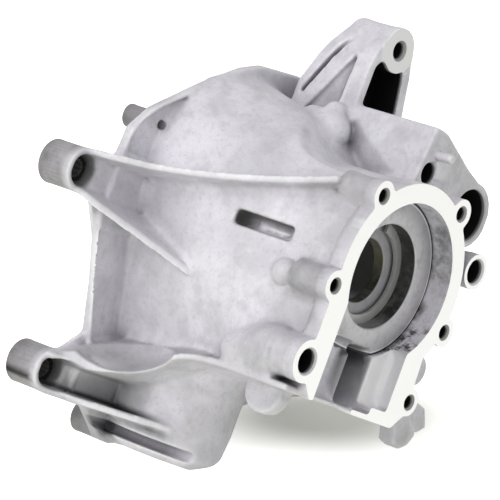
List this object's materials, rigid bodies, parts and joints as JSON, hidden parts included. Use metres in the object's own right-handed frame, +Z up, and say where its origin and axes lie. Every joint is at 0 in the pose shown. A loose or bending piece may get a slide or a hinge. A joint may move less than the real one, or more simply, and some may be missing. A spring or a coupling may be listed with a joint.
{
  "type": "crankcase half",
  "caption": "Cast aluminium crankcase half with a machined joint face, round crank chamber, bearing seat, open fan bell, lower duct, mounting arm and port block",
  "frame": {"origin": "the crank axis in the middle of the bearing seat", "axes": "+X along the crank axis out of the joint face, +Y across to the port block's side, +Z up to the mounting arm"},
  "size_m": [0.142, 0.213, 0.2452],
  "materials": {
    "cast_aluminium": "die-cast skin, milled on the joint face and turned in the bores",
    "spring_steel": "oily dark spring steel"
  },
  "bodies": {
    "root": {"casting": "cast_aluminium", "snap_ring": "spring_steel"}
  },
  "joints": []
}
